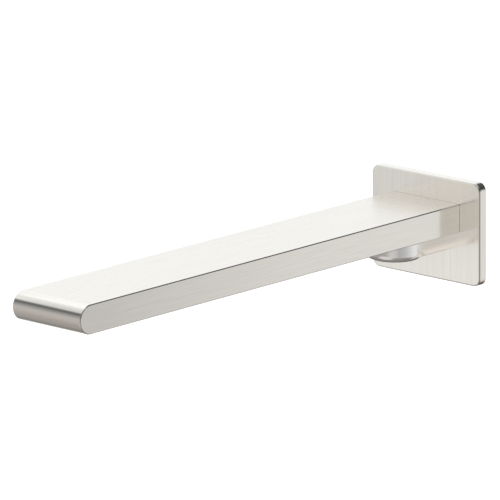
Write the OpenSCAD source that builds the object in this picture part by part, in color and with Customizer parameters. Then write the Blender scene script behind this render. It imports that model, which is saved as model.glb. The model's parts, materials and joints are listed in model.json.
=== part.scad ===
// Wall mounted bath spout: a flat bar with a round nose on a small wall plate.
// Origin: centre of the plate's back, on the wall. -Y points out of the wall, +Z is up.

/* [Spout bar] */
// Distance from the wall to the tip of the nose
reach = 250; // [210:1:300]
// Width of the bar
bar_w = 40.2; // [39:0.1:44]
// Thickness of the bar
bar_t = 13.1; // [12.6:0.1:14]
// Height of the bar's top face above the plate's centre
bar_top = 12.8; // [12.4:0.1:13.2]
// Wall of the bar's shell, and thickness of the cover under it
skin = 1.6; // [1.4:0.1:1.8]
// Rounding along the bar's long edges and round its nose
edge_round = 0.6; // [0.2:0.05:1]
// Shadow gap between the plate and the bar
shadow_gap = 0.1; // [0.1:0.05:0.4]

/* [Wall plate] */
// Width of the wall plate
plate_w = 64; // [58:0.5:90]
// Height of the wall plate
plate_h = 47.4; // [44:0.2:70]
// Depth of the wall plate
plate_t = 4.3; // [4:0.1:6]
// Radius of the plate's corners
plate_r = 4.2; // [3:0.1:8]
// Fillet round the plate's front edge
plate_fillet = 0.7; // [0.3:0.05:1.2]

/* [Inlet lug] */
// Radius of the round boss under the bar, and half the width of its neck
lug_r = 13.5; // [12:0.1:14]
// Distance from the wall to the centre of the boss
lug_centre = 25.6; // [25:0.1:27]
// Depth of the lug's flat bottom below the plate's centre
lug_drop = 10.7; // [10:0.1:11.5]
// Fillet round the boss's bottom
boss_fillet = 3.5; // [1:0.1:5]
// Fillet along the neck, from the plate to the boss
neck_fillet = 6; // [3:0.5:7]

/* [Wall nipple] */
// Outer radius of the half inch pipe thread
thread_r = 10.478; // [10.4:0.001:10.5]
// Length of the thread that goes into the wall
thread_len = 14; // [12:1:20]
// Radius of the spigot that the spout slides on
spigot_r = 7.5; // [7.4:0.05:7.5]
// Radius of the water way through the nipple
nipple_bore_r = 4.6; // [4:0.1:4.7]

/* [Outlet] */
// Distance from the nose's tip to the centre of the outlet
outlet_inset = 22; // [20.5:0.5:25]
// Radius of the aerator's outside thread
aerator_r = 10.75; // [10.5:0.05:10.8]

/* [Hidden] */
$fn = 64;
cut = 1;                      // how far a cutting shape runs past a face
slip = 0.05;                  // radial clearance of a sliding fit
bar_bottom = bar_top - bar_t;
bar_mid = (bar_top + bar_bottom) / 2;
nose_r = bar_t / 2;
nose_y = -(reach - nose_r);   // axis of the round nose
roof = bar_top - skin;        // underside of the shell's top wall
floor_z = bar_bottom + skin;  // upper face of the base cover
room_w = bar_w - 2 * skin;    // width of the space inside the shell
bar_start = plate_t + shadow_gap;
room_end = reach - nose_r - 1;
piece_gap = 0.05;             // assembly gap between fixed pieces
sharp = 0.01;                 // fillet of an edge that is left sharp

pan_wall = 1.6;               // wall of the plate's pan
plate_hole_r = 9.6;
gasket_w = 5;
tail_r = 9;                   // tail of the inlet block inside the plate
tail_start = 0.6;
ring_r = 1;                   // section radius of the ring on the tail

bore_r = spigot_r + slip;
bore_end = 31;
block_end = 40;               // front face of the inlet block
block_w = room_w - 0.6;
chamber_r = 6;
lock_y = 12;                  // distance from the wall to the grub screw
lock_depth = 1.2;
lock_half = 1.5;
spigot_end = 29;
groove_w = 2.3;
groove_floor_r = 5.9;
groove_places = [17, 22];
hex_socket_r = 10 / sqrt(3);  // 10 mm across the flats
hex_socket_depth = 6;

tube_r = 3.2;                 // half the height of the flat tube
tube_half = 7.4;              // from its centre to the axis of each round side
tube_wall = 0.6;
tube_start = 34.5;
pocket_depth = block_end - tube_start;
seal_r = 0.5;
seal_groove_w = 1.3;
seal_inset = 2.4;             // from a block's face to its seal
support_places = [0.352 * reach, 0.64 * reach];
support_t = 5;
support_corner = 1.2;
support_hole_r = 1.8;
support_hole_inset = 3.6;

outlet_y = -(reach - outlet_inset);
outlet_r = aerator_r + slip;
outlet_block_start = reach - 43;
tube_end = outlet_block_start + pocket_depth;
boss_r = 12.6;
shoulder_z = 6.35;            // where the aerator's gasket seals
outlet_chamber_r = 9.4;
outlet_chamber_top = 10.1;

screw_r = 1.5;
screw_len = 8;
screw_drive_r = 2 / sqrt(3);  // 2 mm across the flats
screw_drive_depth = 1.1;
screw_head_r = 2.9;
screw_head_h = 1.4;
screw_boss_r = 2.8;
screw_boss_bottom = 3;
screw_x = 15.2;
screw_places = [52, reach - 52];

grub_r = 2.5;
grub_bottom = -lug_drop + 0.3;
grub_tip_z = -spigot_r + 1;
grub_tip_r = 0.3;
grub_hex_r = 2.5 / sqrt(3);   // 2.5 mm across the flats
grub_hex_depth = 2;

cup_r = 9.2;                  // inside of the aerator's housing
cup_lip_r = 8.2;
cup_bottom = bar_bottom + 0.2;
cup_floor = 0.35;
cup_top = 5.3;
notch_w = 2;                  // key notches in the outside of the housing's rim
notch_start = cup_r + 0.15;
notch_depth = 0.9;
stack_r = cup_r - 0.1;        // the discs inside the housing
grid_z = 0.4;
straightener_z = 1.4;
former_z = 2.9;
jet_r = 0.45;
jet_inner_ring = 2.6;         // every second jet only
jet_outer_rings = [5, 7.2];
regulator_z = 3.7;
channel_in_r = 3.5;           // channel that holds the regulator's ring
channel_out_r = 6.2;
channel_floor = 0.25;
regulator_ring_r = 0.6;
strainer_z = 5.2;
strainer_r = 7.4;

// ---- shared shapes ----

// Turns local +Z to point out of the wall, starting the given distance from it.
module outward(distance) {
    translate([0, -distance, 0]) rotate([90, 0, 0]) children();
}

// Half section of a disc of radius r and height h, with a fillet f at its outer top edge.
module half_section(r, h, f) {
    square([r - f, h]);
    square([r, h - f]);
    translate([r - f, h - f]) circle(f);
}

// Rounded rectangle about the origin.
module rounded_rect(w, h, r) {
    square([w - 2 * r, h], center = true);
    square([w, h - 2 * r], center = true);
    for (x = [-1, 1], y = [-1, 1])
        translate([x * (w / 2 - r), y * (h / 2 - r)]) circle(r);
}

// Slab with rounded corners and a fillet round its top edge.
module filleted_slab(w, h, t, r, f) {
    x = w / 2 - r;
    y = h / 2 - r;
    translate([-x, -y, 0]) cube([2 * x, 2 * y, t]);
    for (side = [0, 1]) {
        mirror([side, 0, 0]) translate([x, y, 0]) rotate([90, 0, 0])
            linear_extrude(2 * y) half_section(r, t, f);
        mirror([0, side, 0]) translate([-x, y, 0]) rotate([90, 0, 90])
            linear_extrude(2 * x) half_section(r, t, f);
    }
    for (sx = [0, 1], sy = [0, 1])
        mirror([sx, 0, 0]) mirror([0, sy, 0]) translate([x, y, 0])
            rotate_extrude(angle = 90) half_section(r, t, f);
}

// Flat oval outline: the tube's section, grown or shrunk to the given radius.
module flat_oval(r) {
    square([2 * tube_half, 2 * r], center = true);
    for (side = [-1, 1]) translate([side * tube_half, 0]) circle(r);
}

// Flat oval prism along the water way, between two distances from the wall.
module flat_oval_run(start, end, r) {
    translate([0, 0, bar_mid]) outward(start) linear_extrude(end - start) flat_oval(r);
}

// Ring of round section, lying flat about the local Z axis.
module ring(centre_r, section_r) {
    rotate_extrude() translate([centre_r, 0]) circle(section_r, $fn = 32);
}

// Round holes on a triangular grid, all inside a circle.
module hole_field(pitch, hole_r, field_r, depth) {
    rows = floor(field_r / (pitch * sin(60)));
    for (row = [-rows : rows], col = [-rows - 2 : rows + 2]) {
        x = (col + abs(row % 2) / 2) * pitch;
        y = row * pitch * sin(60);
        if (norm([x, y]) + hole_r < field_r)
            translate([x, y, -cut]) cylinder(h = depth + 2 * cut, r = hole_r, $fn = 16);
    }
}

// Lug under the bar: a round boss, and a neck with rounder edges from it to the plate.
module lug(grow, bottom, top, boss_f, neck_f) {
    r = lug_r + grow;
    h = top - bottom;
    translate([0, -lug_centre, top]) mirror([0, 0, 1])
        rotate_extrude() half_section(r, h, boss_f);
    for (side = [0, 1])
        mirror([side, 0, 0]) translate([0, 0, top]) mirror([0, 0, 1])
            translate([0, -plate_t, 0]) rotate([90, 0, 0])
                linear_extrude(lug_centre - plate_t) half_section(r, h, neck_f);
}

// ---- wall side ----

module wall_plate() {
    color([0.78, 0.76, 0.72])
        outward(0) difference() {
            filleted_slab(plate_w, plate_h, plate_t, plate_r, plate_fillet);
            translate([0, 0, -cut]) linear_extrude(plate_t - pan_wall + cut)
                rounded_rect(plate_w - 2 * pan_wall, plate_h - 2 * pan_wall, plate_r - pan_wall);
            translate([0, 0, -cut]) cylinder(h = plate_t + 2 * cut, r = plate_hole_r);
        }
}

module plate_gasket() {
    w = plate_w - 2 * pan_wall - 2 * piece_gap;
    h = plate_h - 2 * pan_wall - 2 * piece_gap;
    color([0.12, 0.12, 0.12])
        outward(0) linear_extrude(plate_t - pan_wall) difference() {
            rounded_rect(w, h, plate_r - pan_wall);
            rounded_rect(w - 2 * gasket_w, h - 2 * gasket_w, 1);
        }
}

module plate_retaining_ring() {
    color([0.1, 0.1, 0.1])
        outward(plate_t - pan_wall - ring_r) ring(tail_r + ring_r, ring_r);
}

function groove(distance) = [
    [spigot_r, distance], [groove_floor_r, distance],
    [groove_floor_r, distance + groove_w], [spigot_r, distance + groove_w]
];

module wall_nipple() {
    profile = concat(
        [[nipple_bore_r, -thread_len], [thread_r - 1, -thread_len], [thread_r, -thread_len + 1]],
        [[thread_r, 0.3], [spigot_r, 0.3]],
        [[spigot_r, lock_y - lock_half], [spigot_r - lock_depth, lock_y]],
        [[spigot_r, lock_y + lock_half]],
        groove(groove_places[0]), groove(groove_places[1]),
        [[spigot_r, spigot_end - 0.8], [spigot_r - 0.8, spigot_end]],
        [[nipple_bore_r, spigot_end]]
    );
    color([0.80, 0.64, 0.32])
        outward(0) difference() {
            rotate_extrude() polygon(profile);
            translate([0, 0, spigot_end - hex_socket_depth])
                cylinder(h = hex_socket_depth + cut, r = hex_socket_r, $fn = 6);
        }
}

module nipple_o_ring(distance) {
    section_r = (bore_r - groove_floor_r) / 2;
    color([0.08, 0.08, 0.08])
        outward(distance + groove_w / 2) ring(groove_floor_r + section_r, section_r);
}

module grub_screw() {
    cone_h = grub_r - grub_tip_r;
    body_h = grub_tip_z - cone_h - grub_bottom;
    color([0.75, 0.75, 0.76])
        translate([0, -lock_y, grub_bottom]) difference() {
            union() {
                cylinder(h = body_h, r = grub_r);
                translate([0, 0, body_h]) cylinder(h = cone_h, r1 = grub_r, r2 = grub_tip_r);
            }
            translate([0, 0, -cut])
                cylinder(h = grub_hex_depth + cut, r = grub_hex_r, $fn = 6);
        }
}

// ---- bar ----

// Flat bar that ends in a half-round nose, all its edges rounded.
module bar_solid() {
    x = bar_w / 2;
    e = edge_round;
    translate([0, 0, bar_mid]) outward(bar_start)
        linear_extrude(reach - nose_r - bar_start) rounded_rect(bar_w, bar_t, e);
    translate([0, nose_y, bar_mid]) rotate([0, 90, 0]) rotate(180)
        rotate_extrude(angle = 180) {
            translate([0, -x]) square([nose_r - e, 2 * x]);
            translate([0, -x + e]) square([nose_r, 2 * (x - e)]);
            for (side = [-1, 1]) translate([nose_r - e, side * (x - e)]) circle(e);
        }
}

module at_cover_screws() {
    for (side = [-1, 1], distance = screw_places)
        translate([side * screw_x, -distance, 0]) children();
}

module spout_shell() {
    color([0.79, 0.77, 0.73])
        difference() {
            union() {
                difference() {
                    bar_solid();
                    translate([-room_w / 2, -room_end, bar_bottom - cut])
                        cube([room_w, room_end, roof - bar_bottom + cut]);
                }
                at_cover_screws() translate([0, 0, screw_boss_bottom])
                    cylinder(h = roof + 0.5 - screw_boss_bottom, r = screw_boss_r);
            }
            at_cover_screws() translate([0, 0, screw_boss_bottom - cut])
                cylinder(h = roof - 1 - screw_boss_bottom + cut, r = screw_r + slip);
        }
}

module base_cover() {
    w = room_w - 2 * piece_gap;
    color([0.77, 0.75, 0.71])
        difference() {
            translate([-w / 2, -(room_end - piece_gap), bar_bottom])
                cube([w, room_end - piece_gap - bar_start, skin]);
            lug(piece_gap, bar_bottom - cut, floor_z + cut, sharp, sharp);
            translate([0, outlet_y, bar_bottom - cut])
                cylinder(h = skin + 2 * cut, r = boss_r + piece_gap);
            at_cover_screws() {
                translate([0, 0, bar_bottom - cut])
                    cylinder(h = skin + 2 * cut, r = screw_r + 0.1);
                translate([0, 0, bar_bottom - 0.01])
                    cylinder(h = screw_head_h + 0.01, r1 = screw_head_r + slip, r2 = screw_r + slip);
            }
        }
}

module cover_screws() {
    color([0.72, 0.72, 0.73])
        at_cover_screws() translate([0, 0, bar_bottom]) difference() {
            union() {
                cylinder(h = screw_head_h, r1 = screw_head_r, r2 = screw_r);
                translate([0, 0, screw_head_h])
                    cylinder(h = screw_len - screw_head_h, r = screw_r, $fn = 32);
            }
            translate([0, 0, -cut])
                cylinder(h = screw_drive_depth + cut, r = screw_drive_r, $fn = 6);
        }
}

// ---- water way ----

// Pocket for one end of the tube, with the groove of its seal.
module tube_pocket(face, inner) {
    near = min(face, inner);
    far = max(face, inner);
    seal_at = face + (inner > face ? seal_inset : -seal_inset);
    flat_oval_run(near - (inner > face ? cut : 0), far + (inner > face ? 0 : cut), tube_r + slip);
    flat_oval_run(seal_at - seal_groove_w / 2, seal_at + seal_groove_w / 2,
                  tube_r + 2 * seal_r);
}

module inlet_block() {
    color([0.78, 0.76, 0.72])
        difference() {
            union() {
                lug(0, -lug_drop, floor_z, boss_fillet, neck_fillet);
                translate([-block_w / 2, -block_end, floor_z])
                    cube([block_w, block_end - bar_start, roof - piece_gap - floor_z]);
                outward(tail_start) cylinder(h = bar_start - tail_start, r = tail_r);
            }
            outward(tail_start - cut) cylinder(h = bore_end - tail_start + cut, r = bore_r);
            outward(bore_end - cut) cylinder(h = 3 + cut, r = chamber_r);
            flat_oval_run(bore_end - 2, tube_start + cut, tube_r - tube_wall);
            tube_pocket(block_end, tube_start);
            translate([0, -lock_y, -lug_drop - cut])
                cylinder(h = lug_drop + cut, r = grub_r + slip);
        }
}

module waterway_tube() {
    color([0.80, 0.50, 0.34])
        difference() {
            flat_oval_run(tube_start, tube_end, tube_r);
            flat_oval_run(tube_start - cut, tube_end + cut, tube_r - tube_wall);
        }
}

// Ring of round section that follows the flat oval of the tube.
module tube_seal(distance) {
    path_r = tube_r + seal_r;
    color([0.08, 0.08, 0.08])
        translate([0, 0, bar_mid]) outward(distance) for (side = [0, 1]) {
            mirror([side, 0, 0]) translate([tube_half, 0, 0]) rotate(-90)
                rotate_extrude(angle = 180) translate([path_r, 0]) circle(seal_r, $fn = 24);
            mirror([0, side, 0]) translate([-tube_half, path_r, 0]) rotate([0, 90, 0])
                cylinder(h = 2 * tube_half, r = seal_r, $fn = 24);
        }
}

module tube_support(distance) {
    w = room_w - 0.4;
    h = roof - floor_z - 2 * piece_gap;
    color([0.93, 0.93, 0.90])
        translate([0, 0, bar_mid]) outward(distance) linear_extrude(support_t) difference() {
            rounded_rect(w, h, support_corner);
            flat_oval(tube_r + slip);
            for (side = [-1, 1]) translate([side * (w / 2 - support_hole_inset), 0])
                circle(support_hole_r, $fn = 32);
        }
}

module outlet_block() {
    length = room_end - 0.2 - outlet_block_start;
    slot_w = 2 * tube_half;
    slot_bottom = shoulder_z + 0.4;
    color([0.80, 0.66, 0.36])
        difference() {
            union() {
                translate([-block_w / 2, -outlet_block_start - length, floor_z])
                    cube([block_w, length, roof - piece_gap - floor_z]);
                translate([0, outlet_y, bar_bottom]) cylinder(h = skin + cut, r = boss_r);
            }
            translate([0, outlet_y, bar_bottom - cut])
                cylinder(h = shoulder_z - bar_bottom + cut, r = outlet_r);
            translate([0, outlet_y, shoulder_z - cut])
                cylinder(h = outlet_chamber_top - shoulder_z + cut, r = outlet_chamber_r);
            tube_pocket(outlet_block_start, tube_end);
            translate([-slot_w / 2, outlet_y, slot_bottom])
                cube([slot_w, -outlet_y - tube_end + cut, bar_mid + tube_r - slot_bottom]);
        }
}

// ---- aerator ----

module on_outlet(z) {
    translate([0, outlet_y, z]) children();
}

module aerator_housing() {
    notches = 8;
    color([0.30, 0.31, 0.33])
        on_outlet(cup_bottom) difference() {
            rotate_extrude() polygon([
                [cup_lip_r, 0], [aerator_r - 0.3, 0], [aerator_r, 0.3],
                [aerator_r, cup_top - cup_bottom], [cup_r, cup_top - cup_bottom],
                [cup_r, cup_floor - cup_bottom], [cup_lip_r, cup_floor - cup_bottom]
            ]);
            for (i = [0 : notches - 1]) rotate(i * 360 / notches)
                translate([notch_start, -notch_w / 2, -cut])
                    cube([aerator_r, notch_w, cut + notch_depth]);
        }
}

module aerator_gasket() {
    color([0.10, 0.10, 0.10])
        on_outlet(cup_top + slip) difference() {
            cylinder(h = shoulder_z - cup_top - 2 * slip, r = aerator_r - 0.15);
            translate([0, 0, -cut]) cylinder(h = 3, r = strainer_r + 0.2);
        }
}

module strainer_screen() {
    t = 0.8;
    color([0.86, 0.86, 0.84])
        on_outlet(strainer_z) difference() {
            cylinder(h = t, r = strainer_r);
            hole_field(1.5, 0.5, strainer_r - 0.4, t);
        }
}

module flow_regulator() {
    t = strainer_z - regulator_z;
    inlets = 12;
    color([0.20, 0.42, 0.70])
        on_outlet(regulator_z) difference() {
            rotate_extrude() polygon([
                [0, 0], [stack_r, 0], [stack_r, t], [channel_out_r, t],
                [channel_out_r, channel_floor], [channel_in_r, channel_floor],
                [channel_in_r, t], [0, t]
            ]);
            for (i = [0 : inlets - 1]) rotate(i * 360 / inlets)
                translate([channel_in_r + 0.6, 0, -cut])
                    cylinder(h = channel_floor + 2 * cut, r = 0.4, $fn = 16);
        }
}

module regulator_ring() {
    color([0.10, 0.10, 0.10])
        on_outlet(regulator_z + channel_floor + regulator_ring_r)
            ring((channel_in_r + channel_out_r) / 2, regulator_ring_r);
}

module jet_former() {
    t = regulator_z - former_z;
    jets = 16;
    color([0.90, 0.90, 0.88])
        on_outlet(former_z) difference() {
            cylinder(h = t, r = stack_r);
            for (i = [0 : jets - 1], r = jet_outer_rings) rotate((i + r) * 360 / jets)
                translate([r, 0, -cut]) cylinder(h = t + 2 * cut, r = jet_r, $fn = 16);
            for (i = [0 : 2 : jets - 1]) rotate(i * 360 / jets)
                translate([jet_inner_ring, 0, -cut])
                    cylinder(h = t + 2 * cut, r = jet_r, $fn = 16);
        }
}

module stream_straightener() {
    t = former_z - straightener_z;
    rib = 0.5;
    pitch = 2.4;
    color([0.92, 0.92, 0.90])
        on_outlet(straightener_z) union() {
            difference() {
                cylinder(h = t, r = stack_r);
                translate([0, 0, -cut]) cylinder(h = t + 2 * cut, r = stack_r - 1);
            }
            intersection() {
                cylinder(h = t, r = stack_r - 0.5);
                for (turn = [0, 90], i = [-3 : 3]) rotate(turn)
                    translate([i * pitch - rib / 2, -stack_r, 0]) cube([rib, 2 * stack_r, t]);
            }
        }
}

module outlet_grid() {
    t = straightener_z - grid_z;
    color([0.90, 0.90, 0.90])
        on_outlet(grid_z) difference() {
            cylinder(h = t, r = stack_r);
            hole_field(1.9, 0.72, cup_lip_r - 0.2, t);
        }
}

wall_plate();
plate_gasket();
plate_retaining_ring();
spout_shell();
base_cover();
cover_screws();
inlet_block();
tube_seal(block_end - seal_inset);  // tube_seal_rear
waterway_tube();
tube_seal(outlet_block_start + seal_inset);  // tube_seal_front
tube_support(support_places[0]);  // tube_support_rear
tube_support(support_places[1]);  // tube_support_front
outlet_block();
wall_nipple();
nipple_o_ring(groove_places[0]);  // nipple_o_ring_rear
nipple_o_ring(groove_places[1]);  // nipple_o_ring_front
grub_screw();
aerator_housing();
aerator_gasket();
strainer_screen();
flow_regulator();
regulator_ring();
jet_former();
stream_straightener();
outlet_grid();
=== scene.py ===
"""Looks of the wall mounted bath spout: camera, studio, materials and the detailed pieces."""
import json
import math

import bmesh
import bpy
from mathutils import Matrix, Vector


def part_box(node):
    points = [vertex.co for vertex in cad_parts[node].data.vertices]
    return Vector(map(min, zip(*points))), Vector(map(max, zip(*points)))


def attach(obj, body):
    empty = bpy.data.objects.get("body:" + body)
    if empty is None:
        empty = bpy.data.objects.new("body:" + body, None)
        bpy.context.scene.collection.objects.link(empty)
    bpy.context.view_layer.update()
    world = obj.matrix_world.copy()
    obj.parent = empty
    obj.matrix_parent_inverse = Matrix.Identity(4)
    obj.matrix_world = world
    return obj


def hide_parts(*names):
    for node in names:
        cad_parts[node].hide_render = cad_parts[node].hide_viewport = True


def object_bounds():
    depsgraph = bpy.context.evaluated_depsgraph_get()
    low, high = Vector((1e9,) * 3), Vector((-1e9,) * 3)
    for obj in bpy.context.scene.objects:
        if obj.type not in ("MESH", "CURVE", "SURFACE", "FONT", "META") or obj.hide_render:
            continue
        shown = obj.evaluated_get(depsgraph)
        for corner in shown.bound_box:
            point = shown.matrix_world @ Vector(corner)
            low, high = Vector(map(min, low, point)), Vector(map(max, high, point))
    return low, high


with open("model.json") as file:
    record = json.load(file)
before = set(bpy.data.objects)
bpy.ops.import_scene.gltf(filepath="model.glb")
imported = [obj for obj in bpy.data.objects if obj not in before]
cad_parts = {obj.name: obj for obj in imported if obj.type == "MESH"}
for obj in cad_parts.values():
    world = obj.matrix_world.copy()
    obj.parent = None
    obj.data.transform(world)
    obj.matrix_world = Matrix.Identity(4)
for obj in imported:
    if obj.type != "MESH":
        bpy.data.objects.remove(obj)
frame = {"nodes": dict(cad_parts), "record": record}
CAD_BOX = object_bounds()
NODES = frame["nodes"]
MM = 0.001

# ---- camera ----
CAMERA_AZIMUTH = math.radians(42.47)
CAMERA_ELEVATION = math.radians(13.94)
CAMERA_ROLL = math.radians(-0.37)
CAMERA_DISTANCE = 3.378
CAMERA_LENS = 541.2
CAMERA_ASIDE = -0.0818      # how far the picture's centre lies to the right of the origin
CAMERA_ABOVE = -0.0119      # and how far above it


def make_camera():
    """Long-lens view from the front right, a little above the spout."""
    az, el, roll = CAMERA_AZIMUTH, CAMERA_ELEVATION, CAMERA_ROLL
    back = Vector((math.sin(az) * math.cos(el), -math.cos(az) * math.cos(el), math.sin(el)))
    level = Vector((math.cos(az), math.sin(az), 0))
    upright = back.cross(level)
    right = level * math.cos(roll) + upright * math.sin(roll)
    up = upright * math.cos(roll) - level * math.sin(roll)
    data = bpy.data.cameras.new("camera")
    data.lens = CAMERA_LENS
    data.clip_end = 100
    camera = bpy.data.objects.new("camera", data)
    bpy.context.scene.collection.objects.link(camera)
    place = right * CAMERA_ASIDE + up * CAMERA_ABOVE + back * CAMERA_DISTANCE
    turn = Matrix((right, up, back)).transposed().to_4x4()
    camera.matrix_world = Matrix.Translation(place) @ turn
    bpy.context.scene.camera = camera


make_camera()


# ---- node helpers ----
def new_material(name):
    """A material with an empty node tree but its output and Principled shader."""
    material = bpy.data.materials.new(name)
    material.use_nodes = True
    tree = material.node_tree
    shader = tree.nodes["Principled BSDF"]
    return material, tree, shader


def add(tree, kind, **values):
    """Adds a node; each value is a property of it or, where there is none, an input."""
    node = tree.nodes.new(kind)
    for key, value in values.items():
        if hasattr(node, key):
            setattr(node, key, value)
        else:
            node.inputs[key.replace("_", " ")].default_value = value
    return node


def stretched_noise(tree, scale, detail=3.0, roughness=0.6):
    """Noise in object space, stretched by a different scale on each axis."""
    place = add(tree, "ShaderNodeTexCoord")
    mapping = add(tree, "ShaderNodeMapping")
    mapping.inputs["Scale"].default_value = scale
    noise = add(tree, "ShaderNodeTexNoise", Scale=1.0, Detail=detail, Roughness=roughness)
    tree.links.new(place.outputs["Object"], mapping.inputs["Vector"])
    tree.links.new(mapping.outputs["Vector"], noise.inputs["Vector"])
    return noise.outputs["Fac"]


def ramp(tree, source, low, high, start=0.3, end=0.7):
    """Maps a grey value from start..end to low..high, clamped."""
    node = add(tree, "ShaderNodeMapRange")
    node.inputs["From Min"].default_value = start
    node.inputs["From Max"].default_value = end
    node.inputs["To Min"].default_value = low
    node.inputs["To Max"].default_value = high
    tree.links.new(source, node.inputs["Value"])
    return node.outputs["Result"]


def level_ramp(tree, source, stops, peak):
    """Grey levels along a 0..1 value, as a colour ramp; a level is peak times its output."""
    node = add(tree, "ShaderNodeValToRGB")
    elements = node.color_ramp.elements
    while len(elements) < len(stops):
        elements.new(0.5)
    for element, (position, _) in zip(elements, stops):
        element.position = position
    for element, (_, level) in zip(elements, stops):
        element.color = (level / peak,) * 3 + (1,)
    tree.links.new(source, node.inputs["Fac"])
    return node.outputs["Color"]


def mix_colours(tree, factor, first, second):
    """Fixed colour between first (at 0) and second (at 1)."""
    node = add(tree, "ShaderNodeMix", data_type="RGBA")
    node.inputs["A"].default_value = (*first, 1)
    node.inputs["B"].default_value = (*second, 1)
    tree.links.new(factor, node.inputs["Factor"])
    return node.outputs["Result"]


def math_node(tree, operation, first, second=None):
    """Result of one operation on one or two values."""
    node = add(tree, "ShaderNodeMath", operation=operation)
    tree.links.new(first, node.inputs[0])
    if second is not None:
        tree.links.new(second, node.inputs[1])
    return node.outputs[0]


def scaled(tree, source, factor):
    """A value times a fixed factor."""
    node = add(tree, "ShaderNodeMath", operation="MULTIPLY")
    node.inputs[1].default_value = factor
    tree.links.new(source, node.inputs[0])
    return node.outputs[0]


def bump(tree, shader, height, strength, distance=0.0001):
    """Scratches or grain of the given depth in metres."""
    node = add(tree, "ShaderNodeBump")
    node.inputs["Strength"].default_value = strength
    node.inputs["Distance"].default_value = distance
    tree.links.new(height, node.inputs["Height"])
    tree.links.new(node.outputs["Normal"], shader.inputs["Normal"])


# ---- materials ----
# Each maker returns the material's slot and the material.

# Painted shade along the edges between a side and the faces next to it: share of the normal
# that points sideways, and the factor there.
# It fades out where the share that points up or down is within STEEP.
PAINTED_EDGE_SHADE = [(0.22, 1.0), (0.42, 0.45), (0.85, 0.45), (0.97, 1.0)]
STEEP = (0.45, 0.75)
LEVEL = (0.93, 0.995)       # upward share of the normal over which a face counts as the top
FRONTAL = (-0.75, -0.2)     # share along Y over which the painted shade on a face that looks out of the wall fades out


def multiply_colours(tree, first, second, factor=None):
    """Product of two colours, mixed in by the factor where one is given."""
    node = add(tree, "ShaderNodeMix", data_type="RGBA", blend_type="MULTIPLY")
    node.inputs["Factor"].default_value = 1
    if factor is not None:
        tree.links.new(factor, node.inputs["Factor"])
    tree.links.new(first, node.inputs["A"])
    tree.links.new(second, node.inputs["B"])
    return node.outputs["Result"]


def brushed_metal(name, light, dark, grain, roughness, relief, top=1.0, front=1.0, edges=True):
    """Brushed nickel: fine scratches along the axis where grain's scale is small.

    Painted shade darkens the edges between a side and the faces next to it, an upward face
    is rougher by the factor top, and painted shade darkens a face out of the wall by the factor
    front.
    """
    material, tree, shader = new_material(name)
    shader.inputs["Metallic"].default_value = 1.0
    fine = stretched_noise(tree, grain, detail=2.0, roughness=0.55)
    broad = stretched_noise(tree, [s * 0.3 for s in grain], detail=1.0)
    shade = mix_colours(tree, ramp(tree, fine, 0.0, 1.0), dark, light)
    rough = ramp(tree, broad, *roughness)
    place = add(tree, "ShaderNodeTexCoord")
    facing = add(tree, "ShaderNodeSeparateXYZ")
    tree.links.new(place.outputs["Normal"], facing.inputs[0])
    # Painted shade: darker nickel along the edges, where the normal points partly sideways.
    if edges:
        sideways = math_node(tree, "ABSOLUTE", facing.outputs["X"])
        painted_edge_dim = level_ramp(tree, sideways, PAINTED_EDGE_SHADE, 1.0)
        upright = math_node(tree, "ABSOLUTE", facing.outputs["Z"])
        shade = multiply_colours(tree, shade, painted_edge_dim, ramp(tree, upright, 1, 0, *STEEP))
    # Painted shade: faces that look out of the wall are darkened by the factor front.
    if front < 1:
        shade = multiply_colours(tree, shade,
                                 ramp(tree, facing.outputs["Y"], front, 1, *FRONTAL))
    if top > 1:
        rough = math_node(tree, "MULTIPLY", rough,
                          ramp(tree, facing.outputs["Z"], 1, top, *LEVEL))
    tree.links.new(shade, shader.inputs["Base Color"])
    tree.links.new(rough, shader.inputs["Roughness"])
    bump(tree, shader, fine, relief)
    return name, material


def plain_metal(name, light, dark, grain, roughness=(0.2, 0.35)):
    """Bare metal with fine turning marks or scratches."""
    material, tree, shader = new_material(name)
    shader.inputs["Metallic"].default_value = 1.0
    turning = stretched_noise(tree, grain, detail=3.0)
    shade = mix_colours(tree, ramp(tree, turning, 0.0, 1.0), dark, light)
    tree.links.new(shade, shader.inputs["Base Color"])
    tree.links.new(ramp(tree, turning, *roughness), shader.inputs["Roughness"])
    bump(tree, shader, turning, 0.1)
    return name, material


def moulded(name, light, dark, roughness, specular=0.4):
    """Rubber or plastic with a fine moulded texture."""
    material, tree, shader = new_material(name)
    shader.inputs["Specular IOR Level"].default_value = specular
    grain = stretched_noise(tree, (3500, 3500, 3500), detail=2.0)
    cloud = stretched_noise(tree, (180, 180, 180), detail=2.0)
    shade = mix_colours(tree, ramp(tree, cloud, 0.0, 1.0), dark, light)
    tree.links.new(shade, shader.inputs["Base Color"])
    tree.links.new(ramp(tree, grain, *roughness), shader.inputs["Roughness"])
    bump(tree, shader, grain, 0.2, distance=0.00005)
    return name, material


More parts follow.
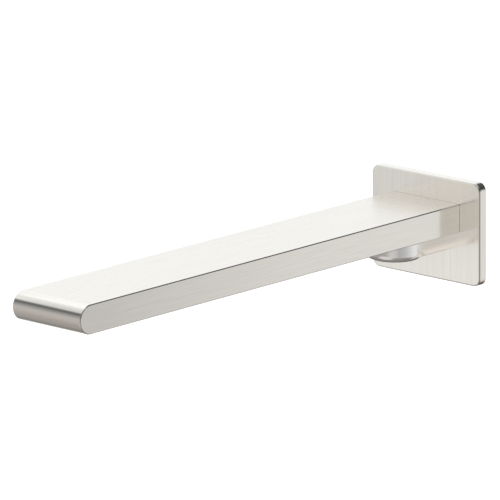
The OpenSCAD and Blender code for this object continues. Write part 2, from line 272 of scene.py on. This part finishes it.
def make_materials():
    """Every material of the record, by the name of its slot."""
    nickel = (0.80, 0.773, 0.727), (0.75, 0.725, 0.68)
    # Lighter copy of the nickel for the lug: painted light that brightens the lug; its tone is
    # also a little cooler.
    painted_lighter_nickel = (0.88, 0.875, 0.86), (0.84, 0.835, 0.82)
    made = (
        brushed_metal("brushed_nickel_bar", *nickel, (2200, 45, 2200),
                      roughness=(0.133, 0.147), relief=0.002, top=2.0),
        brushed_metal("brushed_nickel_plate", *nickel, (2200, 2200, 35),
                      roughness=(0.175, 0.19), relief=0.006),
        # On the lug, front=0.67 is painted shade on the faces that look out of the wall.
        brushed_metal("brushed_nickel_lug", *painted_lighter_nickel, (120, 120, 2200),
                      roughness=(0.20, 0.22), relief=0.004, front=0.67, edges=False),
        plain_metal("brass", (0.80, 0.60, 0.30), (0.66, 0.47, 0.21), (400, 9000, 400)),
        plain_metal("copper", (0.83, 0.50, 0.36), (0.62, 0.33, 0.23), (2500, 60, 2500)),
        plain_metal("stainless_steel", (0.70, 0.70, 0.70), (0.55, 0.55, 0.56),
                    (6000, 6000, 600)),
        moulded("black_rubber", (0.030, 0.030, 0.030), (0.018, 0.018, 0.018), (0.45, 0.6)),
        moulded("black_foam", (0.045, 0.045, 0.045), (0.020, 0.020, 0.020), (0.8, 0.95), 0.2),
        moulded("white_plastic", (0.82, 0.82, 0.79), (0.74, 0.74, 0.70), (0.3, 0.4)),
        moulded("grey_plastic", (0.10, 0.10, 0.11), (0.07, 0.07, 0.08), (0.3, 0.42)),
        moulded("blue_plastic", (0.05, 0.18, 0.45), (0.03, 0.12, 0.34), (0.3, 0.42)),
    )
    return dict(made)


MATERIALS = make_materials()


def dress_cad_nodes():
    """Gives every CAD node the material of its slot in the record."""
    for row in frame["record"]["subparts"]:
        node = NODES[row["node"]]
        node.data.materials.clear()
        node.data.materials.append(MATERIALS[row["material_slot"]])


dress_cad_nodes()


# ---- detailed pieces ----
RING_POINTS = 96            # points round each turned piece
CREASE = math.radians(35)   # an edge sharper than this stays sharp


def thread(major, pitch, depth, start, end):
    """Radius along a screw thread, by place on the axis and angle, with run-outs.

    A tenth of the pitch is flat at the crest, and a tenth at the root.
    """
    def radius(place, angle):
        turn = (place / pitch + angle / math.tau) % 1
        groove = min(max(1.25 * abs(2 * turn - 1) - 0.125, 0), 1)
        run_out = min(max((place - start) / pitch, 0), max((end - place) / pitch, 0), 1)
        return major - depth * groove * run_out
    return radius


def thread_rings(major, pitch, depth, start, end, per_turn=12):
    """Closely spaced rings of one thread."""
    shape = thread(major, pitch, depth, start, end)
    count = max(2, round((end - start) / pitch * per_turn))
    return [(start + (end - start) * i / count, shape) for i in range(count + 1)]


def hexagon(flats):
    """Radius of a hexagon of the given width across its flats, by angle."""
    def radius(place, angle):
        return flats / 2 / math.cos((angle % (math.pi / 3)) - math.pi / 6)
    return radius


def turned(name, rings, turn, centre, closed, body, slot, replaced):
    """Solid of rings about its own Z axis: each ring is a place and a radius, in mm.

    A closed piece is joined from its last ring back to its first, as round a bore.
    """
    form = bmesh.new()
    loops = []
    for place, radius in rings:
        loop = []
        for i in range(RING_POINTS):
            angle = math.tau * i / RING_POINTS
            r = radius(place, angle) if callable(radius) else radius
            point = Vector((r * math.cos(angle), r * math.sin(angle), place)) * MM
            loop.append(form.verts.new(turn @ point + Vector(centre)))
        loops.append(loop)
    pairs = list(zip(loops, loops[1:]))
    if closed:
        pairs.append((loops[-1], loops[0]))
    for low, high in pairs:
        for i in range(RING_POINTS):
            j = (i + 1) % RING_POINTS
            form.faces.new((low[i], low[j], high[j], high[i]))
    bmesh.ops.remove_doubles(form, verts=form.verts, dist=1e-6)
    bmesh.ops.recalc_face_normals(form, faces=form.faces)
    for face in form.faces:
        face.smooth = True
    for edge in form.edges:
        edge.smooth = edge.calc_face_angle(0) < CREASE
    mesh = bpy.data.meshes.new(name)
    form.to_mesh(mesh)
    form.free()
    piece = bpy.data.objects.new(name, mesh)
    bpy.context.scene.collection.objects.link(piece)
    mesh.materials.append(MATERIALS[slot])
    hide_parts(replaced)
    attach(piece, body)
    return piece


def make_nipple():
    """Half inch parallel pipe thread behind the wall plate, and the spigot in front of it."""
    low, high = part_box("wall_nipple")
    wall_end, spigot_end = -high.y / MM, -low.y / MM
    major = (high.x - low.x) / 2 / MM
    pitch, depth, chamfer = 1.814, 1.162, 1.0
    spigot, lock, lock_depth, lock_half = 7.5, 12, 1.2, 1.5
    bore, socket, socket_depth = 4.6, hexagon(10), 6
    thread_end, shoulder, lead_in = -0.6, 0.3, 0.8
    groove_floor, groove_width = 5.9, 2.3
    rings = [(wall_end, bore), (wall_end, major - depth - 0.1)]
    rings += thread_rings(major, pitch, depth, wall_end + chamfer, thread_end)
    rings += [(shoulder, major), (shoulder, spigot), (lock - lock_half, spigot)]
    rings += [(lock, spigot - lock_depth), (lock + lock_half, spigot)]
    for start in (17, 22):
        end = start + groove_width
        rings += [(start, spigot), (start, groove_floor), (end, groove_floor), (end, spigot)]
    rings += [(spigot_end - lead_in, spigot), (spigot_end, spigot - lead_in)]
    rings += [(spigot_end, socket)]
    rings += [(spigot_end - socket_depth, socket), (spigot_end - socket_depth, bore)]
    outward = Matrix.Rotation(math.pi / 2, 3, "X")
    turned("threaded_nipple", rings, outward, (0, 0, 0), True, "spout", "brass", "wall_nipple")


def make_grub_screw():
    """Set screw with a hexagon socket below and a cone point above."""
    low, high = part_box("grub_screw")
    centre = ((low.x + high.x) / 2, (low.y + high.y) / 2, 0)
    bottom, top = low.z / MM, high.z / MM
    major = (high.x - low.x) / 2 / MM
    tip, socket = 0.3, hexagon(2.5)
    cone_start = top - (major - tip)
    rings = [(bottom + 2.2, 0), (bottom + 2, socket), (bottom, socket), (bottom, major - 0.3)]
    rings += thread_rings(major, 0.8, 0.35, bottom + 0.2, cone_start)
    rings += [(top, tip), (top, 0)]
    turned("threaded_grub_screw", rings, Matrix.Identity(3), centre, False, "grub_screw",
           "stainless_steel", "grub_screw")


def make_aerator_housing():
    """Threaded cup that holds the aerator, with key notches in its rim."""
    low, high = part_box("aerator_housing")
    centre = ((low.x + high.x) / 2, (low.y + high.y) / 2, 0)
    bottom, top = low.z / MM, high.z / MM
    major = (high.x - low.x) / 2 / MM
    cup, lip, floor = 9.2, 8.2, 0.45
    notches, notch_width, notch_depth, notch_start = 8, 2, 0.9, 9.35
    rings = [(bottom, lip), (bottom, major - 0.3), (bottom + 0.3, major), (bottom + 1.1, major)]
    rings += thread_rings(major, 1, 0.45, bottom + 1.2, top - 0.3)
    rings += [(top, major - 0.3), (top, cup), (bottom + floor, cup), (bottom + floor, lip)]
    piece = turned("threaded_aerator_housing", rings, Matrix.Identity(3), centre, True,
                   "aerator_housing", "grey_plastic", "aerator_housing")
    form = bmesh.new()
    for i in range(notches):
        turn = Matrix.Rotation(math.tau * i / notches, 4, "Z")
        middle = Vector((notch_start + major / 2, 0, bottom)) * MM
        size = Vector((major, notch_width, 2 * notch_depth)) * MM
        place = (Matrix.Translation(centre) @ turn @ Matrix.Translation(middle)
                 @ Matrix.Diagonal((*size, 1)))
        bmesh.ops.create_cube(form, size=1, matrix=place)
    cutter_mesh = bpy.data.meshes.new("notch_cutter")
    form.to_mesh(cutter_mesh)
    form.free()
    cutter = bpy.data.objects.new("notch_cutter", cutter_mesh)
    bpy.context.scene.collection.objects.link(cutter)
    cut = piece.modifiers.new("notches", "BOOLEAN")
    cut.operation = "DIFFERENCE"
    cut.object = cutter
    graph = bpy.context.evaluated_depsgraph_get()
    notched = bpy.data.meshes.new_from_object(piece.evaluated_get(graph))
    piece.modifiers.clear()
    piece.data = notched
    bpy.data.objects.remove(cutter)


make_nipple()
make_grub_screw()
make_aerator_housing()


# ---- studio ----
FLOOR_DROP = 0.45           # the floor lies this far under the spout
FLOOR_HALF = 30             # half the length of its sides
FLOOR_GLOW = 0.6            # its own light, so that its far parts stay pale
# Brightness of the studio round the X axis: degrees from straight out of the wall (0) over
# straight up (90) to the wall (180), and the level there. A soft box hangs overhead, with a
# black flag in front of it, and the lower half is pale grey.
BANDS = [
    (-180, 1.08), (-161, 0.95), (-146, 0.85), (-129, 0.60), (-116, 0.24), (-95, 0.33),
    (-75, 0.42), (-55, 0.44), (-43, 0.49), (-34, 0.54), (-24, 0.58), (-5, 0.60), (4, 0.54),
    (11, 0.46), (19, 0.37), (27, 0.25), (34, 0.16), (40, 0.17), (46, 0.40), (51, 0.80),
    (64, 0.87), (79, 1.04), (88, 1.20), (97, 1.33), (118, 1.36), (140, 1.30), (150, 1.25),
    (161, 1.18), (180, 1.08),
]
BAND_PEAK = 1.4             # no level is above this
LOW_TINT = (1.035, 0.98, 0.945)   # colour of the studio below the horizon, and above it
HIGH_TINT = (0.945, 0.965, 0.975)
HORIZON = (-0.2, 0.2)       # upward share of a direction over which one turns into the other
# Round patches of the studio: direction, level, half angle of the core and of the soft rim.
PATCHES = [
    ((0.95, 0.0, 0.10), 0.10, 34, 46),
    ((0.241, 0.716, 0.654), 0.10, 27, 45),
    ((-0.241, 0.716, -0.655), 0.12, 12, 28),
    ((0.655, -0.716, -0.241), 0.99, 18, 32),
    ((0.0, -0.73, -0.68), 1.15, 18, 28),
    ((0.241, -0.716, 0.655), 1.15, 12, 20),
]
# Reflector cards: centre, the point each one faces, width, height, whether its levels run
# along its height, and the levels from one end to the other with the share of the way there.
CARDS = {
    "front_card": ((-0.2, -0.235, 0.025), (0, -0.235, 0.025), 0.27, 0.37, True,
                   [(0.0, 1.03), (0.16, 1.04), (0.20, 0.98), (0.24, 0.87), (0.30, 0.79),
                    (0.35, 0.84), (0.51, 1.01), (0.65, 1.11), (1.0, 1.15)]),
    "side_card": ((0.2, 0.0475, -0.065), (0, 0.0475, -0.065), 0.585, 0.22, False,
                  [(0.29, 0.905), (0.43, 0.866), (0.49, 0.82), (0.55, 0.77), (0.61, 0.73),
                   (0.65, 0.67), (0.79, 0.66), (0.86, 0.66), (0.91, 0.86), (1.0, 0.88)]),
}
CARD_RIM = 0.025            # width of a card's soft edge


def mix_values(tree, factor, first, second_level):
    """Value between first (at 0) and a fixed level (at 1)."""
    node = add(tree, "ShaderNodeMix", data_type="FLOAT")
    node.inputs["B"].default_value = second_level
    tree.links.new(factor, node.inputs["Factor"])
    tree.links.new(first, node.inputs["A"])
    return node.outputs["Result"]


def make_world():
    """Soft studio all round: bands about the X axis, with a few round patches.

    The camera itself sees plain white.
    """
    world = bpy.data.worlds.new("studio")
    bpy.context.scene.world = world
    world.use_nodes = True
    tree = world.node_tree
    place = add(tree, "ShaderNodeTexCoord")
    direction = place.outputs["Generated"]
    parts = add(tree, "ShaderNodeSeparateXYZ")
    tree.links.new(direction, parts.inputs[0])
    outward = scaled(tree, parts.outputs["Y"], -1)
    angle = math_node(tree, "ARCTAN2", parts.outputs["Z"], outward)
    turn = ramp(tree, angle, 0, 1, -math.pi, math.pi)
    stops = [((degrees + 180) / 360, level) for degrees, level in BANDS]
    level = level_ramp(tree, turn, stops, BAND_PEAK)
    for axis, patch_level, core, rim in PATCHES:
        dot = add(tree, "ShaderNodeVectorMath", operation="DOT_PRODUCT")
        dot.inputs[1].default_value = Vector(axis).normalized()
        tree.links.new(direction, dot.inputs[0])
        mask = ramp(tree, dot.outputs["Value"], 0, 1, math.cos(math.radians(rim)),
                    math.cos(math.radians(core)))
        level = mix_values(tree, mask, level, patch_level / BAND_PEAK)
    background = tree.nodes["Background"]
    height = ramp(tree, parts.outputs["Z"], 0, 1, *HORIZON)
    tree.links.new(mix_colours(tree, height, LOW_TINT, HIGH_TINT), background.inputs["Color"])
    tree.links.new(scaled(tree, level, BAND_PEAK), background.inputs["Strength"])
    plain = add(tree, "ShaderNodeBackground")
    plain.inputs["Color"].default_value = (1, 1, 1, 1)
    path = add(tree, "ShaderNodeLightPath")
    choose = add(tree, "ShaderNodeMixShader")
    tree.links.new(path.outputs["Is Camera Ray"], choose.inputs[0])
    tree.links.new(background.outputs[0], choose.inputs[1])
    tree.links.new(plain.outputs[0], choose.inputs[2])
    tree.links.new(choose.outputs[0], tree.nodes["World Output"].inputs["Surface"])


def make_floor():
    """Pale floor well below the spout. It is see-through from beneath."""
    mesh = bpy.data.meshes.new("floor")
    form = bmesh.new()
    bmesh.ops.create_grid(form, x_segments=1, y_segments=1, size=FLOOR_HALF)
    form.to_mesh(mesh)
    form.free()
    floor = bpy.data.objects.new("floor", mesh)
    floor.location.z = CAD_BOX[0].z - FLOOR_DROP
    bpy.context.scene.collection.objects.link(floor)
    material, tree, shader = new_material("pale_floor")
    shader.inputs["Base Color"].default_value = (0.9, 0.9, 0.9, 1)
    shader.inputs["Roughness"].default_value = 0.9
    shader.inputs["Emission Color"].default_value = (1, 1, 1, 1)
    shader.inputs["Emission Strength"].default_value = FLOOR_GLOW
    side = add(tree, "ShaderNodeNewGeometry")
    clear = add(tree, "ShaderNodeBsdfTransparent")
    choose = add(tree, "ShaderNodeMixShader")
    tree.links.new(side.outputs["Backfacing"], choose.inputs[0])
    tree.links.new(shader.outputs[0], choose.inputs[1])
    tree.links.new(clear.outputs[0], choose.inputs[2])
    tree.links.new(choose.outputs[0], tree.nodes["Material Output"].inputs["Surface"])
    mesh.materials.append(material)
    floor.visible_glossy = False


def make_card(name, centre, aim, width, height, upright, stops):
    """Soft-edged reflector card that only reflections see."""
    mesh = bpy.data.meshes.new(name)
    form = bmesh.new()
    bmesh.ops.create_grid(form, x_segments=1, y_segments=1, size=0.5)
    form.to_mesh(mesh)
    form.free()
    card = bpy.data.objects.new(name, mesh)
    face = (Vector(aim) - Vector(centre)).normalized()
    side = Vector((0, 0, 1)).cross(face).normalized()
    turn = Matrix((side, face.cross(side), face)).transposed().to_4x4()
    card.matrix_world = (Matrix.Translation(centre) @ turn
                         @ Matrix.Diagonal((width, height, 1, 1)))
    card.visible_camera = False
    card.visible_diffuse = False
    card.visible_shadow = False
    bpy.context.scene.collection.objects.link(card)
    material, tree, shader = new_material(name)
    tree.nodes.remove(shader)
    place = add(tree, "ShaderNodeTexCoord")
    parts = add(tree, "ShaderNodeSeparateXYZ")
    tree.links.new(place.outputs["Object"], parts.inputs[0])
    masks = []
    for axis, size in (("X", width), ("Y", height)):
        reach = math_node(tree, "ABSOLUTE", parts.outputs[axis])
        masks.append(ramp(tree, reach, 1, 0, 0.5 - CARD_RIM / size, 0.5))
    mask = math_node(tree, "MULTIPLY", *masks)
    along = ramp(tree, parts.outputs["Y" if upright else "X"], 0, 1, -0.5, 0.5)
    glow = add(tree, "ShaderNodeEmission", Strength=BAND_PEAK)
    tree.links.new(level_ramp(tree, along, stops, BAND_PEAK), glow.inputs["Color"])
    clear = add(tree, "ShaderNodeBsdfTransparent")
    choose = add(tree, "ShaderNodeMixShader")
    tree.links.new(mask, choose.inputs[0])
    tree.links.new(clear.outputs[0], choose.inputs[1])
    tree.links.new(glow.outputs[0], choose.inputs[2])
    tree.links.new(choose.outputs[0], tree.nodes["Material Output"].inputs["Surface"])
    mesh.materials.append(material)


make_world()
make_floor()
for name, card in CARDS.items():
    make_card(name, *card)
bpy.context.scene.view_settings.view_transform = "Standard"
